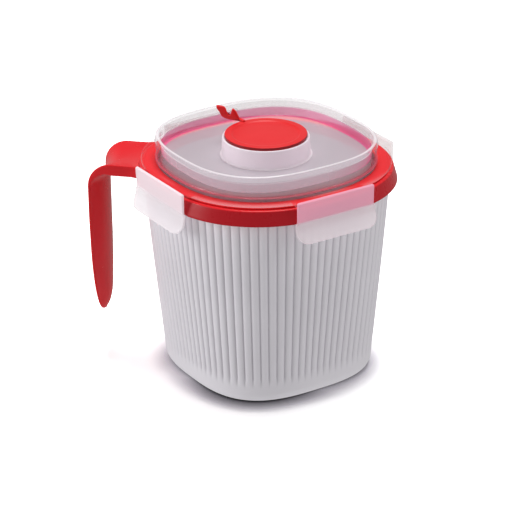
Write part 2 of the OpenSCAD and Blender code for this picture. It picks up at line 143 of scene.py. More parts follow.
def ring_row(half, power, z, angles):
    out = []
    for a in angles:
        r = squircle_r(half, power, a)
        out.append((r * math.cos(a), r * math.sin(a), z))
    return out


def join(parts):
    """Several (points, faces) as one."""
    points, faces = [], []
    for p, f in parts:
        base = len(points)
        points += p
        faces += [tuple(base + i for i in face) for face in f]
    return points, faces


def turned(part, degrees):
    """The same (points, faces) turned about the mug's axis."""
    m = Matrix.Rotation(math.radians(degrees), 3, "Z")
    return [tuple(m @ Vector(p)) for p in part[0]], part[1]


def revolve(profile, count):
    """Points and faces of a closed profile of (radius, height) turned about the axis."""
    rows = [[(r * math.cos(a), r * math.sin(a), z) for a in even_angles(count)] for r, z in profile]
    return loft(rows)


# Material helpers

# Noise scales, per metre: flow marks in the colour and wear in the gloss
FLOW_SCALE, WEAR_SCALE = 35.0, 160.0
# Shares of the flow noise at which the colour starts and ends to change
FLOW_FROM, FLOW_TO = 0.3, 0.7
GRAIN_STRENGTH = 0.25
# How much rougher the roughest spots of clear plastic are, and its grain
CLEAR_WEAR, CLEAR_GRAIN, CLEAR_DEPTH = 0.08, 1800.0, 0.00002
# Upright part of a normal from which a face of clear plastic counts as level
LEVEL_FROM = 0.5
# Facing at which clear plastic, seen edge on, covers most
EDGE_FULL = 0.95
# Y in millimetres where the lid's front wall ends and its back wall starts, for the painted light of the red
# ring
FRONT_END, BACK_START = -30.0, -5.0
# Upright part of a normal at which a face starts to count as upright for the painted shade, and counts fully
UPRIGHT_FROM, UPRIGHT_FULL = 0.75, 0.3
# Painted shade in the grooves: share of the colour that the grooves lose at their deepest, where that starts
# across a reed, and its colour
GROOVE_SHADE, GROOVE_EDGE, GROOVE_SHADE_COLOR = 0.3, 0.34, (0.3, 0.28, 0.31)


def material(name, color, roughness, **values):
    """A plain Principled material, whose nodes the caller adds to."""
    mat = bpy.data.materials.new(name)
    mat.use_nodes = True
    bsdf = mat.node_tree.nodes["Principled BSDF"]
    bsdf.inputs["Base Color"].default_value = (*color, 1)
    bsdf.inputs["Roughness"].default_value = roughness
    for key, value in values.items():
        bsdf.inputs[key].default_value = value
    return mat, mat.node_tree, bsdf


def noise(tree, scale, detail=3.0, rough=0.5):
    """Noise in the object's own coordinates."""
    coords = tree.nodes.new("ShaderNodeTexCoord")
    node = tree.nodes.new("ShaderNodeTexNoise")
    node.inputs["Scale"].default_value = scale
    node.inputs["Detail"].default_value = detail
    node.inputs["Roughness"].default_value = rough
    tree.links.new(coords.outputs["Object"], node.inputs["Vector"])
    return node.outputs["Fac"]


def map_range(tree, value, from_low, from_high, to_low, to_high):
    """The value, stretched from one range to another and kept inside it."""
    span = tree.nodes.new("ShaderNodeMapRange")
    sockets = "From Min", "From Max", "To Min", "To Max"
    for key, number in zip(sockets, (from_low, from_high, to_low, to_high)):
        span.inputs[key].default_value = number
    tree.links.new(value, span.inputs["Value"])
    return span.outputs["Result"]


def operation(tree, kind, first, second=None):
    """One step of arithmetic on sockets or plain numbers."""
    node = tree.nodes.new("ShaderNodeMath")
    node.operation = kind
    for socket, value in zip(node.inputs, (first, second)):
        if isinstance(value, (int, float)):
            socket.default_value = value
        elif value is not None:
            tree.links.new(value, socket)
    return node.outputs["Value"]


def object_axis(tree, output, axis):
    """X, Y or Z of the object's own coordinates or of its own normals."""
    coords = tree.nodes.new("ShaderNodeTexCoord")
    axes = tree.nodes.new("ShaderNodeSeparateXYZ")
    tree.links.new(coords.outputs[output], axes.inputs["Vector"])
    return axes.outputs[axis]


def levelness(tree):
    """1 on level faces and 0 on upright ones."""
    return operation(tree, "ABSOLUTE", object_axis(tree, "Normal", "Z"))


def vary_color(tree, bsdf, fac, low, high):
    ramp = tree.nodes.new("ShaderNodeValToRGB")
    for element, place, color in zip(ramp.color_ramp.elements, (FLOW_FROM, FLOW_TO), (low, high)):
        element.position = place
        element.color = (*color, 1)
    tree.links.new(fac, ramp.inputs["Fac"])
    tree.links.new(ramp.outputs["Color"], bsdf.inputs["Base Color"])


def add_bump(tree, bsdf, height, strength, distance):
    bump = tree.nodes.new("ShaderNodeBump")
    bump.inputs["Strength"].default_value = strength
    bump.inputs["Distance"].default_value = distance
    tree.links.new(height, bump.inputs["Height"])
    tree.links.new(bump.outputs["Normal"], bsdf.inputs["Normal"])


def tint(tree, share, color):
    """Blend the base colour towards another one by a share."""
    base = tree.nodes["Principled BSDF"].inputs["Base Color"]
    blend = tree.nodes.new("ShaderNodeMix")
    blend.data_type = "RGBA"
    tree.links.new(share, blend.inputs["Factor"])
    tree.links.new(base.links[0].from_socket, blend.inputs["A"])
    blend.inputs["B"].default_value = (*color, 1)
    tree.links.new(blend.outputs["Result"], base)


def moulded(name, colors, rough, grain, depth, **values):
    """Moulded plastic: faint flow marks in the colour, a fine spark-eroded grain in the surface.

    colors and rough are each (low, high). grain is per metre and depth is in metres.
    """
    mat, tree, bsdf = material(name, colors[1], rough[0], **values)
    vary_color(tree, bsdf, noise(tree, FLOW_SCALE, 2.0), *colors)
    wear = noise(tree, WEAR_SCALE, 4.0, 0.6)
    tree.links.new(map_range(tree, wear, 0, 1, *rough), bsdf.inputs["Roughness"])
    add_bump(tree, bsdf, noise(tree, grain, 2.0), GRAIN_STRENGTH, depth)
    return mat


def clear(name, colors, rough, level, wall, edge, glow=None, glow_front=None, painted_guided_light=None):
    """Thin clear plastic. level and wall are the shares that its level faces and its walls cover.

    edge is (share covered, facing where it starts), for where it is seen edge on.
    glow is (height without, height with, colour, share covered): painted light, a tint and more cover that
    stand in for the light that the red ring throws into the plastic next to it. glow_front is how much of
    that painted light the front wall gets.
    guided is (strength, colour): painted light, a faint emission that stands in for light from above that
    the plastic guides down to its walls.
    """
    values = {}
    # Painted light: a faint emission in the plastic
    if painted_guided_light:
        values = {"Emission Strength": painted_guided_light[0], "Emission Color": (*painted_guided_light[1], 1)}
    mat = moulded(name, colors, (rough, rough + CLEAR_WEAR), CLEAR_GRAIN, CLEAR_DEPTH, **values)
    tree = mat.node_tree
    weight = tree.nodes.new("ShaderNodeLayerWeight")
    weight.inputs["Blend"].default_value = 0.5
    rising = map_range(tree, weight.outputs["Facing"], edge[1], EDGE_FULL, 0, edge[0])
    cover = operation(tree, "MAXIMUM", map_range(tree, levelness(tree), LEVEL_FROM, 1, wall, level), rising)
    # Painted light: the red ring's light painted into the plastic as a tint by height, less on the front
    # wall
    if glow:
        height = object_axis(tree, "Object", "Z")
        near = map_range(tree, height, glow[0] * MM, glow[1] * MM, 0, 1)
        if glow_front:
            depth = object_axis(tree, "Object", "Y")
            behind = map_range(tree, depth, FRONT_END * MM, BACK_START * MM, glow_front, 1)
            near = operation(tree, "MULTIPLY", near, behind)
        tint(tree, near, glow[2])
        cover = operation(tree, "MAXIMUM", cover, operation(tree, "MULTIPLY", near, glow[3]))
    tree.links.new(cover, tree.nodes["Principled BSDF"].inputs["Alpha"])
    return mat


def shade_upright(mat, top, color):
    """Painted shade: upright faces under a bright level one are given a deeper colour, up to a height."""
    tree = mat.node_tree
    upright = map_range(tree, levelness(tree), UPRIGHT_FROM, UPRIGHT_FULL, 0, 1)
    height = object_axis(tree, "Object", "Z")
    below = map_range(tree, height, (top + 0.3) * MM, top * MM, 0, 1)
    tint(tree, operation(tree, "MULTIPLY", upright, below), color)


def shade_grooves(mat):
    """Painted shade: the colour is darkened in the deepest part of each groove between the reeds, where less
    light comes out.
    """
    tree = mat.node_tree
    coords = tree.nodes.new("ShaderNodeTexCoord")
    sweep = tree.nodes.new("ShaderNodeTexGradient")
    sweep.gradient_type = "RADIAL"
    tree.links.new(coords.outputs["Object"], sweep.inputs["Vector"])
    share = operation(tree, "FRACT", operation(tree, "MULTIPLY", sweep.outputs["Fac"], REEDS))
    off = operation(tree, "ABSOLUTE", operation(tree, "SUBTRACT", share, 0.5))
    deep = map_range(tree, off, GROOVE_EDGE, 0.5, 0, GROOVE_SHADE)
    height = object_axis(tree, "Object", "Z")
    risen = map_range(tree, height, GROOVE_START * MM, (GROOVE_START + GROOVE_FADE) * MM, 0, 1)
    tint(tree, operation(tree, "MULTIPLY", deep, risen), GROOVE_SHADE_COLOR)


# Materials

RED = (0.74, 0.014, 0.02), (0.79, 0.018, 0.026)
VENT_RED = (0.78, 0.02, 0.024), (0.83, 0.026, 0.03)
SEAL_RED = (0.8, 0.014, 0.02), (0.85, 0.018, 0.026)
WHITE = (0.81, 0.78, 0.83), (0.84, 0.81, 0.86)
CUP_WHITE = (0.8, 0.78, 0.8), (0.83, 0.81, 0.83)
CLEAR = (0.86, 0.82, 0.86), (0.9, 0.86, 0.9)
PALE = (0.92, 0.87, 0.9), (0.96, 0.91, 0.94)
PANEL_CLEAR = (0.88, 0.85, 0.93), (0.92, 0.89, 0.97)
TURRET_CLEAR = (0.95, 0.88, 0.93), (0.98, 0.92, 0.97)
# RIM_OUTSIDE_SHADE is painted shade: a darker mauve copy of the clear plastic for the rim's outside, for the
# shaded lid inside seen through it
RIM_OUTSIDE_SHADE = (0.48, 0.3, 0.38), (0.52, 0.34, 0.42)
RIM_INSIDE = (0.93, 0.88, 0.92), (0.97, 0.92, 0.96)
SOFT_GLOSS = {"Specular IOR Level": 0.22}

shell_mat = moulded("shell_plastic", WHITE, (0.4, 0.5), 2600.0, 0.00004)
cup_mat = moulded("cup_plastic", CUP_WHITE, (0.3, 0.38), 2600.0, 0.00002)
red_mat = moulded("red_plastic", RED, (0.22, 0.3), 2200.0, 0.00002, **SOFT_GLOSS)
collar_mat = moulded("collar_plastic", RED, (0.24, 0.32), 2200.0, 0.00002, **SOFT_GLOSS)
vent_mat = moulded("vent_plastic", VENT_RED, (0.34, 0.42), 2200.0, 0.00003, **SOFT_GLOSS)
seal_mat = moulded("seal_silicone", SEAL_RED, (0.42, 0.52), 3000.0, 0.00003, **{"Specular IOR Level": 0.2})
# Painted shade: darker colour in the grooves of the shell
shade_grooves(shell_mat)
# Painted shade: deeper red on the upright sides of the collar and of the cap's edge, under their lit tops
shade_upright(collar_mat, COLLAR_TOP, (0.5, 0.01, 0.018))
shade_upright(vent_mat, CAP_Z + CAP_T, (0.3, 0.012, 0.016))

flange_mat = clear("flange_plastic", CLEAR, 0.12, level=0.005, wall=0.05, edge=(0.6, 0.68))
outside_mat = clear(
    "rim_outside_plastic", RIM_OUTSIDE_SHADE, 0.12, level=0.3, wall=0.27, edge=(0.6, 0.65),
    glow=(109.8, 107.4, (0.9, 0.1, 0.16), 0.55)
)
inside_mat = clear(
    "rim_inside_plastic", RIM_INSIDE, 0.12, level=0.75, wall=0.12, edge=(0.95, 0.6),
    glow=(113.7, 112.6, (1.0, 0.23, 0.48), 0.76), glow_front=0.4
)
plug_mat = clear(
    "plug_plastic", CLEAR, 0.16, level=0.3, wall=0.1, edge=(0.85, 0.62),
    glow=(107.3, 105.6, (0.85, 0.12, 0.2), 0.45)
)
panel_mat = clear("panel_plastic", PANEL_CLEAR, 0.16, level=0.4, wall=0.1, edge=(0.85, 0.62))
turret_mat = clear(
    "turret_plastic", TURRET_CLEAR, 0.22, level=0.6, wall=0.8, edge=(0.9, 0.5),
    painted_guided_light=(0.11, (1.0, 0.86, 0.98))
)
# Lit and shaded copies of the latch plastic, with painted light: the front left latch lies in the light and
# is painted whiter, with a faint emission; the front right one shows the ring behind it, with the ring's
# light painted in pink; and the back ones show least
thin_latch_mat = clear("thin_latch_plastic", PALE, 0.2, level=0.2, wall=0.18, edge=(0.8, 0.45))
LATCH_MATS = {
    "front_left": clear(
        "lit_latch_plastic", PALE, 0.2, level=0.6, wall=0.55, edge=(1.0, 0.3),
        glow=(97.2, 98.6, (0.98, 0.86, 0.91), 0.7), painted_guided_light=(0.13, (1.0, 0.92, 0.97))
    ),
    "front_right": clear(
        "latch_plastic", PALE, 0.2, level=0.45, wall=0.38, edge=(1.0, 0.3),
        glow=(97.2, 98.6, (1.0, 0.52, 0.68), 0.6), painted_guided_light=(0.1, (1.0, 0.6, 0.72))
    ),
    "back_left": thin_latch_mat,
    "back_right": thin_latch_mat,
}


def put(obj, mat, body, node):
    """The object with its material, on its body, in place of the node's CAD part, which it hides."""
    obj.data.materials.append(mat)
    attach(obj, body)
    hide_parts(node)


# Outer shell

# Places of the points across one reed, from groove to groove
REED_SHARES = [0, 0.03, 0.065, 0.11, 0.17, 0.25, 0.36, 0.5, 0.64, 0.75, 0.83, 0.89, 0.935, 0.97]


def groove_share(z):
    t = min(max((z - GROOVE_START) / GROOVE_FADE, 0), 1)
    return t * t * (3 - 2 * t)


def groove_at(share):
    """Depth of the groove at a place across one reed: round shoulders and a flat crest."""
    x = 2 * min(share, 1 - share)
    return (1 - min(x / 0.75, 1)) ** 1.8


def foot_half(a):
    return body_half(FOOT_H * (1 - math.cos(a))) - FOOT_INSET * (1 - math.sin(a))


def shell_levels():
    """(half width, height) up the outside: the foot, the fading grooves, the full reeds."""
    levels = []
    for i in range(13):
        a = math.radians(90 * i / 12)
        levels.append((foot_half(a), FOOT_H * (1 - math.cos(a))))
    for i in range(1, 13):
        z = mix(GROOVE_START - 0.5, GROOVE_START + GROOVE_FADE, i / 12)
        levels.append((body_half(z), z))
    for i in range(1, 11):
        z = mix(GROOVE_START + GROOVE_FADE, SHELL_TOP, i / 10)
        levels.append((body_half(z), z))
    return levels


def build_shell():
    places = [(2 * math.pi * (i + s) / REEDS, groove_at(s)) for i in range(REEDS) for s in REED_SHARES]
    angles = [a for a, _ in places]
    rows = []
    for half, z in shell_levels():
        row = []
        for a, depth in places:
            r = squircle_r(half, body_power(z), a) - GROOVE * groove_share(z) * depth
            row.append((r * math.cos(a), r * math.sin(a), z))
        rows.append(row)
    # (height, how far it draws in) down the inside
    inner = [
        (SHELL_TOP, 0), (60, 0), (FOOT_H + SHELL_WALL + 2, 0),
        (SHELL_WALL + 2, 0.6), (SHELL_WALL, FOOT_INSET),
    ]
    for z, draw in inner:
        rows.append(ring_row(body_half(z) - SHELL_WALL - draw, body_power(z), z, angles))
    obj = make_mesh("outer_shell_reeded", *loft(rows, False, True, True))
    put(obj, shell_mat, "mug", "outer_shell")


build_shell()

# Inner cup


def build_cup():
    angles = even_angles(320)
    inset = SHELL_WALL + AIR_GAP
    rows = []
    floor = CUP_BASE + CUP_WALL
    corner = CUP_CORNER + CUP_WALL
    for i in range(9):
        a = math.radians(90 * i / 8)
        z = CUP_BASE + corner * (1 - math.cos(a))
        rows.append(ring_row(body_half(z) - inset - corner * (1 - math.sin(a)), body_power(z), z, angles))
    lip = CUP_WALL / 3
    top_out, top_in = body_half(CUP_TOP) - inset, body_half(CUP_TOP) - inset - CUP_WALL
    power = body_power(CUP_TOP)
    for half, z in (
        (top_out, CUP_TOP - lip), (top_out - lip / 3, CUP_TOP - lip / 3), (top_out - lip, CUP_TOP),
        (top_in + lip, CUP_TOP), (top_in + lip / 3, CUP_TOP - lip / 3), (top_in, CUP_TOP - lip),
    ):
        rows.append(ring_row(half, power, z, angles))
    for i in range(8, -1, -1):
        a = math.radians(90 * i / 8)
        z = floor + CUP_CORNER * (1 - math.cos(a))
        half = body_half(z) - inset - CUP_WALL - CUP_CORNER * (1 - math.sin(a))
        rows.append(ring_row(half, body_power(z), z, angles))
    obj = make_mesh("inner_cup_smooth", *loft(rows, False, True, True))
    put(obj, cup_mat, "mug", "inner_cup")


build_cup()

# Collar and handle

# Half the handle's width, and its thickness along the middle
HANDLE_HALF, HANDLE_WALL = 16.5, 2.3
# How far the grip's rims lie from the axis, the radius of their bend, and how far they lean in at the tip
GRIP_REACH, BEND_R, GRIP_LEAN = 84.6, 12.0, 1.2
CROWN_Z = COLLAR_TOP - 1.0
BEND_X, BEND_Z = GRIP_REACH - BEND_R, CROWN_Z - BEND_R
# Height of the tip, and the heights over which the grip narrows to it and rounds off
TIP_Z, TIP_H, TIP_ROUND = 19.7, 40.3, 12.0
TIP_START = TIP_Z + TIP_H
# Height at which the grip starts to thin
FULL_END = mix(BEND_Z, TIP_Z, 0.23)
PLATE_DEPTH, GRIP_DEPTH, TIP_DEPTH = 6.0, 6.0, 4.3
PLATE_EDGE, GRIP_EDGE = 5.6, 1.2
# Shares of the full dish at the plate's root and at its bend
ROOT_DISH, PLATE_DISH = 0.4, 0.85
ROOT_HALF = 57.48


def collar_row(half, z, angles):
    """One ring of the collar, cut flat where a latch lies on it, with a slope under it for the hook."""
    row = []
    flat = min(CATCH_HALF, z - BODY_H + CATCH_HALF - 1.0)
    for a in angles:
        r = squircle_r(half, MOUTH_POWER, a)
        if half > CHANNEL_HALF + 0.1:
            r = min(r, flat / math.cos(a - nearest_face(a)))
        row.append((r * math.cos(a), r * math.sin(a), z))
    return row


def collar_part():
    angles = even_angles(480)
    low, top = BODY_H, COLLAR_TOP
    profile = [
        (COLLAR_OUTER - 0.45, low), (COLLAR_OUTER - 0.13, low + 0.13), (COLLAR_OUTER - 0.1, low + 0.45),
        (COLLAR_OUTER - 0.28, low + 1.0), (mix(COLLAR_OUTER, COLLAR_UPPER, 0.5), low + 3.4),
    ]
    profile += arc((COLLAR_UPPER - 0.9, top - 0.9), 0.9, 12, 90, 7)
    profile += arc((COLLAR_INNER + 0.9, top - 0.9), 0.9, 90, 180, 7)
    profile += [(COLLAR_INNER, top - LINING_H + 0.3), (COLLAR_INNER + 0.3, top - LINING_H)]
    profile += [(COLLAR_INNER + LINING_T, top - LINING_H), (COLLAR_INNER + LINING_T, top - 2.2)]
    profile += [(CHANNEL_HALF, top - 2.2), (CHANNEL_HALF, low)]
    return loft([collar_row(half, z, angles) for half, z in profile])


def root_x(y):
    r = ROOT_HALF
    for _ in range(6):
        r = squircle_r(ROOT_HALF, MOUTH_POWER, math.asin(y / r))
    return math.sqrt(r * r - y * y)


def trough(half, depth, dish, edge, steps=22):
    """One section, as (across, below the rims): the dished outside, round rims, and the bowed back."""
    r = min(0.6, edge * 0.48, half * 0.3)
    side = arc((half - r, r), r, -90, 0, 3) + arc((half - r, edge - r), r, 0, 50, 2)
    shares = [-math.cos(math.pi * i / steps) for i in range(steps + 1)]
    dished = [((half - 1.6 * r) * s, 0.06 * r + dish * (1 - s * s)) for s in shares]
    bowed = [((half - 0.35 * r) * s, edge + (depth - edge) * (1 - s * s)) for s in reversed(shares)]
    return dished + side + bowed + [(-x, y) for x, y in reversed(side)]


def handle_stations():
    """(distance, height, slope, half width, depth, dish, rim) along the rims, from root to tip.

    On the plate the distance is a share, from 0 at the collar to 1 at the bend.
    """
    out = []
    for i in range(9):
        t = i / 8
        flare = 1.8 * max(0, 1 - t * 2.2) ** 2
        dish = (PLATE_DEPTH - HANDLE_WALL) * mix(ROOT_DISH, PLATE_DISH, t)
        out.append((t, CROWN_Z, 0.0, HANDLE_HALF + flare, PLATE_DEPTH, dish, PLATE_EDGE))
    for i in range(1, 17):
        t = i / 16
        a = math.pi / 2 * t
        depth = mix(PLATE_DEPTH, GRIP_DEPTH, t)
        dish = (depth - HANDLE_WALL) * mix(PLATE_DISH, 1, t)
        edge = mix(PLATE_EDGE, GRIP_EDGE, t)
        x, z = BEND_X + BEND_R * math.sin(a), BEND_Z + BEND_R * math.cos(a)
        out.append((x, z, a, HANDLE_HALF, depth, dish, edge))
    places = [(mix(BEND_Z, TIP_START, i / 16), HANDLE_HALF) for i in range(1, 17)]
    for i in range(1, 25):
        a = math.radians(88.5) * i / 24
        places.append((TIP_START - TIP_H * math.sin(a), HANDLE_HALF * math.cos(a)))
    for z, half in places:
        thin = max(FULL_END - z, 0) / (FULL_END - TIP_Z)
        near = min((z - TIP_Z) / TIP_ROUND, 1)
        depth = max(mix(GRIP_DEPTH, TIP_DEPTH, thin) * math.sqrt(1 - (1 - near) ** 2), GRIP_EDGE + 0.2)
        dish = max(depth - HANDLE_WALL, 0)
        out.append((GRIP_REACH - GRIP_LEAN * thin, z, math.pi / 2, half, depth, dish, GRIP_EDGE))
    return out


def handle_part():
    rows = []
    for x, z, slope, half, depth, dish, edge in handle_stations():
        row = []
        for across, below in trough(half, depth, dish, edge):
            if x <= 1:
                reach = mix(root_x(across), BEND_X, x)
            else:
                reach = x - below * math.sin(slope)
            row.append((-reach, across, z - below * math.cos(slope)))
        rows.append(row[::-1])
    return loft(rows, False, True, True)


def build_collar_handle():
    put(make_mesh("collar_ring", *collar_part()), collar_mat, "mug", "collar_handle")
    put(make_mesh("handle_grip", *handle_part()), red_mat, "mug", "collar_handle")


build_collar_handle()

# Lid

# Half the angle that a hinge tab takes up, and half the step at each of its ends
SEAT_EDGE = math.atan2(LATCH_W / 2, CATCH_HALF)
HAIR = 0.0006


def lid_angles():
    """Even angles, with a pair of close ones at each side of each hinge tab, for its straight ends."""
    angles = set(even_angles(400))
    for face in FACES.values():
        for side in (-1, 1):
            edge = math.radians(face) + side * SEAT_EDGE
            angles = {a for a in angles if abs(a - edge) > 0.004}
            angles |= {edge - HAIR, edge + HAIR}
    return sorted(angles)


def tab_reach(a, distance):
    """Radius to a tab's straight outer edge, or None between the tabs."""
    nearest = nearest_face(a)
    off = math.atan2(math.sin(a - nearest), math.cos(a - nearest))
    if abs(off) > SEAT_EDGE:
        return None
    return distance / math.cos(off)


def lid_row(half, power, z, angles, tab=None):
    """One ring of the lid. A tab's ring takes its own distance and height over the width of each tab."""
    row = []
    for a in angles:
        r, height = squircle_r(half, power, a), z
        reach = tab_reach(a, tab[0]) if tab else None
        if reach is not None:
            r, height = reach, tab[1]
        row.append((r * math.cos(a), r * math.sin(a), height))
    return row


def build_lid():
    angles = lid_angles()
    p = MOUTH_POWER
    inner = RIM_HALF - RIM_LEAN - RIM_T
    under = PANEL_Z - PANEL_T
    floor = under - TURRET_SINK
    skirt = RIM_HALF - SKIRT_T
    skirt_low = FLANGE_Z - SKIRT_H
    turret_in = TURRET_R - TURRET_WALL
    boss = STEAM_R + BOSS_WALL
    edge = CATCH_HALF - 0.02
    rows = []

    def add(half, power, z, tab=None):
        rows.append(lid_row(half, power, z, angles, tab))

    def piece(name, mat):
        """The rings so far as one piece, and its last ring as the next one's first."""
        put(make_mesh(name, *loft(rows, False)), mat, "lid", "lid")
        del rows[:-1]

    # Underside, from the steam hole out to the skirt
    add(STEAM_R, 2, floor)
    add(TURRET_R - 0.3, 2, floor)
    add(TURRET_R, 2, floor + 0.3)
    add(TURRET_R + 0.2, 2, under)
    for share in (0.35, 0.7):
        add(mix(TURRET_R, skirt - 0.7, share), mix(2, p, share), under)
    add(skirt - 0.7, p, under)
    add(skirt - 0.1, p, under - 0.6)
    add(skirt, p, skirt_low + 0.4)
    add(skirt + 0.4, p, skirt_low)
    add(RIM_HALF - 0.4, p, skirt_low)
    add(RIM_HALF, p, skirt_low + 0.4)
    add(RIM_HALF, p, FLANGE_Z - 0.4)
    add(RIM_HALF + 0.4, p, FLANGE_Z)
    piece("lid_plug", plug_mat)
    # Flange, and the hinge tabs on it
    add(FLANGE_HALF - 0.5, p, FLANGE_Z, (edge - 0.3, FLANGE_Z))
    add(FLANGE_HALF - 0.1, p, FLANGE_Z + 0.25, (edge, FLANGE_Z + 0.3))
    add(FLANGE_HALF, p, FLANGE_Z + 0.6, (edge, FLANGE_Z + 0.8))
    add(FLANGE_HALF, p, FLANGE_TOP - 0.6, (edge, FLANGE_TOP))
    add(FLANGE_HALF - 0.15, p, FLANGE_TOP - 0.2, (edge, FLANGE_TOP + 0.25))
    add(FLANGE_HALF - 0.6, p, FLANGE_TOP, (edge - 0.2, FLANGE_TOP + 0.4))
    add(FLANGE_HALF - 1.6, p, FLANGE_TOP, (edge - 2.4, FLANGE_TOP + 0.4))
    add(FLANGE_HALF - 2.6, p, FLANGE_TOP)
    add(RIM_HALF + 1.0, p, FLANGE_TOP)
    piece("lid_flange", flange_mat)
    # Rim: fillet, straight outside with a step, round crest, inside with a ledge
    for x, z in arc((RIM_HALF + 1.0, FLANGE_TOP + 1.0), 1.0, 252, 180, 4):
        add(x, p, z)
    add(RIM_HALF - 0.05, mix(p, RIM_POWER, 0.3), FLANGE_TOP + 3.8)
    add(RIM_HALF - 0.1, mix(p, RIM_POWER, 0.5), RIM_Z - 3.6)
    add(RIM_HALF - 0.45, mix(p, RIM_POWER, 0.8), RIM_Z - 2.4)
    piece("lid_rim_outside", outside_mat)
    crest = RIM_HALF - RIM_LEAN - RIM_T / 2
    for x, z in arc((crest, RIM_Z - 1.0), 1.0, 10, 170, 9):
        add(x, RIM_POWER, z)
    add(inner, RIM_POWER, RIM_Z - 2.2)
    add(inner, RIM_POWER, LEDGE_Z + 0.15)
    add(inner - 0.1, RIM_POWER, LEDGE_Z)
    add(inner - LEDGE, RIM_POWER, LEDGE_Z)
    add(inner - LEDGE - 0.1, RIM_POWER, LEDGE_Z - 0.15)
    add(inner - LEDGE - 0.1, RIM_POWER, PANEL_Z + 1.2)
    for x, z in arc((inner - 1.5, PANEL_Z + 1.2), 1.1, 0, -90, 5):
        add(x, RIM_POWER, z)
    piece("lid_rim_inside", inside_mat)
    # Panel, turret, steam hole
    for share in (0.75, 0.5, 0.25):
        add(mix(TURRET_R + 1.0, inner - 1.5, share), mix(2, RIM_POWER, share**0.5), PANEL_Z)
    add(TURRET_R + 0.8, 2, PANEL_Z)
    piece("lid_panel", panel_mat)
    for x, z in arc((TURRET_R + 0.8, PANEL_Z + 0.8), 0.8, 250, 180, 4):
        add(x, 2, z)
    add(TURRET_R - 0.15, 2, mix(PANEL_Z, TURRET_Z, 0.5))
    for x, z in arc((TURRET_R - 0.9, TURRET_Z - 0.55), 0.55, 0, 180, 6):
        add(x, 2, z)
    add(turret_in, 2, PANEL_Z + 0.5)
    add(turret_in - 0.5, 2, PANEL_Z)
    add(boss + 0.5, 2, PANEL_Z)
    add(boss, 2, PANEL_Z + 0.5)
    add(boss, 2, PANEL_Z + BOSS_H - 0.3)
    add(boss - 0.3, 2, PANEL_Z + BOSS_H)
    add(STEAM_R + 0.3, 2, PANEL_Z + BOSS_H)
    add(STEAM_R, 2, PANEL_Z + BOSS_H - 0.3)
    add(STEAM_R, 2, floor)
    piece("lid_turret", turret_mat)


build_lid()


def build_lid_seal():
    angles = even_angles(320)
    low, high = COLLAR_TOP + 0.1, FLANGE_Z - 0.1
    inner, outer = RIM_HALF + 0.1, COLLAR_UPPER - 1.7
    r = (high - low) / 2
    profile = arc((outer - r, low + r), r, -90, 90, 6) + arc((inner + r, low + r), r, 90, 270, 6)
    obj = make_mesh("lid_seal_ring", *loft([ring_row(h, MOUTH_POWER, z, angles) for h, z in profile]))
    put(obj, seal_mat, "lid", "lid_seal")


build_lid_seal()

# Latches


def latch_rows():
    """(outer, inner, inner at the hook, height, half width) down the latch, from the hinge to the lip."""
    out = []
    half = LATCH_W / 2
    wide = half + LIP_EAR
    for i in range(7):
        a = math.radians(8 + 82 * i / 6)
        x, z = HINGE_R * math.sin(a), HINGE_Z + HINGE_R * math.cos(a)
        out.append((HINGE_HALF + x, HINGE_HALF - min(x, 0.75), None, z, half - 0.4 * math.cos(a) ** 2))
    for z in (HINGE_Z - 1.5, 103.0, 100.5, 98.9):
        thick = mix(WAIST_T, LATCH_T, (z - BODY_H) / (HINGE_Z - BODY_H))
        out.append((LATCH_IN + thick, LATCH_IN, None, z, half))
    # (height, how far the hook stands in) down the hook
    hook = [(98.3, 0), (97.58, 0), (96.9, HOOK_BITE), (96.6, HOOK_BITE + 0.02), (96.2, HOOK_BITE)]
    hook += [(94.6, 0), (94.3, 0)]
    zs = sorted({z for z, _ in hook} | {mix(BODY_H, LIP_Z, i / 16) for i in range(17)}, reverse=True)
    for z in zs:
        share = max(0, (BODY_H - z) / (BODY_H - LIP_Z))
        thick = mix(WAIST_T, LATCH_T, share if share > 0 else (z - BODY_H) / (HINGE_Z - BODY_H))
        flare = LIP_FLARE * (1 - math.cos(math.pi / 2 * share))
        grow = min(max((98.3 - z) / 1.3, 0), 1)
        w = mix(half, wide, grow * grow * (3 - 2 * grow))
        under = LIP_Z + LIP_CORNER - z
        if under > 0:
            w = wide - LIP_CORNER + math.sqrt(max(LIP_CORNER**2 - under**2, 0))
        bite = 0.0
        for (z0, b0), (z1, b1) in zip(hook, hook[1:]):
            if z1 <= z <= z0:
                bite = mix(b0, b1, (z0 - z) / (z0 - z1))
        out.append((LATCH_IN + thick + flare, LATCH_IN + flare, LATCH_IN - bite if bite > 0 else None, z, w))
    return out


def latch_part():
    """Closed loops across the latch: out along the front with round edges, and back along the inside."""
    hook_half = HOOK_W / 2
    rows = []
    for outer, inner, hooked, z, w in latch_rows():
        r = min(0.45, (outer - inner) * 0.45)
        shares = [i / 10 for i in range(-10, 11)]
        front = [(outer, (w - r) * s) for s in shares]
        edge = arc((outer - r, w - r), r, 30, 90, 2) + arc((inner + r, w - r), r, 90, 180, 3)
        deep = inner if hooked is None else hooked
        side = w - r - 0.2
        hook = [(deep, hook_half * s) for s in (1, 0.5, 0, -0.5, -1)]
        back = [(inner, side), (inner, hook_half + 0.05)] + hook
        back += [(inner, -hook_half - 0.05), (inner, -side)]
        if side < hook_half + 0.1:
            # The lip's round corners leave less room than the hook needs
            step = side / hook_half * 0.98
            wide = [(inner, hook_half * 1.02), (inner, hook_half * 1.01)] + hook
            back = [(d, t * step) for d, t in wide]
            back += [(inner, -side * 0.99), (inner, -side)]
        other = [(d, -t) for d, t in reversed(edge)]
        loop = front + edge + back + other
        rows.append([(d, t, z) for d, t in loop])
    return loft(rows, False, True, True)


def build_latches():
    for name, turn in FACES.items():
        points, faces = turned(latch_part(), turn)
        obj = make_mesh("latch_%s_flap" % name, points, faces, 40)
        node = "latch_" + name
        put(obj, LATCH_MATS[name], node, node)


build_latches()

# Vent cap


